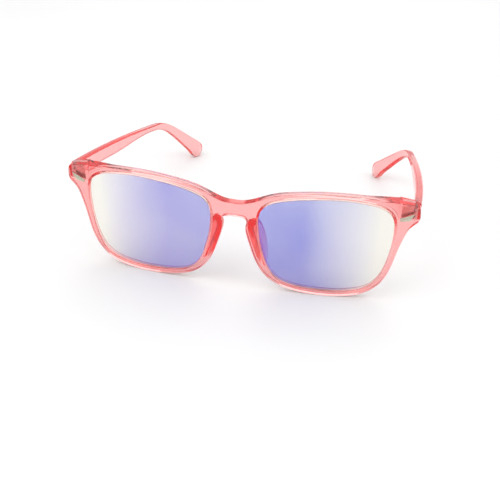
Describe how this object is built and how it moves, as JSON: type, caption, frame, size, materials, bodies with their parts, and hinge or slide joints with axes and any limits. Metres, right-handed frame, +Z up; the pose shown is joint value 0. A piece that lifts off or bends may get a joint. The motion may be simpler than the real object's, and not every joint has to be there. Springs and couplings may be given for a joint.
{
  "type": "glasses",
  "caption": "Full-rim rectangular glasses in transparent pink plastic with coated flat lenses, folding temples on small metal hinges and metal corner accents.",
  "frame": {"origin": "on the table, under the middle of the bounding box, with both rims and both ear tips touching the table", "axes": "+X to the right of somebody who looks at the lenses from in front, +Y from the lenses towards the ear tips, +Z up from the table"},
  "size_m": [0.1418, 0.1348, 0.0463],
  "materials": {
    "frame_plastic": "polished transparent salmon pink",
    "pad_plastic": "polished transparent pink",
    "lens_resin": "clear, slightly yellow, with a blue-violet coating",
    "accent_metal": "brushed, pale champagne",
    "hinge_metal": "satin",
    "screw_metal": "turned"
  },
  "bodies": {
    "front": {"front_frame": "frame_plastic", "left_lens": "lens_resin", "left_nose_pad": "pad_plastic", "left_corner_accent": "accent_metal", "left_front_hinge_leaf": "hinge_metal", "left_front_leaf_screws": "screw_metal", "left_hinge_screw": "screw_metal", "right_lens": "lens_resin", "right_nose_pad": "pad_plastic", "right_corner_accent": "accent_metal", "right_front_hinge_leaf": "hinge_metal", "right_front_leaf_screws": "screw_metal", "right_hinge_screw": "screw_metal"},
    "left_temple": {"left_temple": "frame_plastic", "left_temple_hinge_leaf": "hinge_metal", "left_temple_leaf_screws": "screw_metal"},
    "right_temple": {"right_temple": "frame_plastic", "right_temple_hinge_leaf": "hinge_metal", "right_temple_leaf_screws": "screw_metal"}
  },
  "joints": [
    {"name": "left_temple_fold", "type": "hinge", "parent": "front", "child": "left_temple", "pos_m": [-0.0652, -0.05553, 0.0401], "axis": [0, -0.0241, -0.9997], "range_deg": [0, 80]},
    {"name": "right_temple_fold", "type": "hinge", "parent": "front", "child": "right_temple", "pos_m": [0.0652, -0.05553, 0.0401], "axis": [0, 0.0241, 0.9997], "range_deg": [0, 69]}
  ]
}
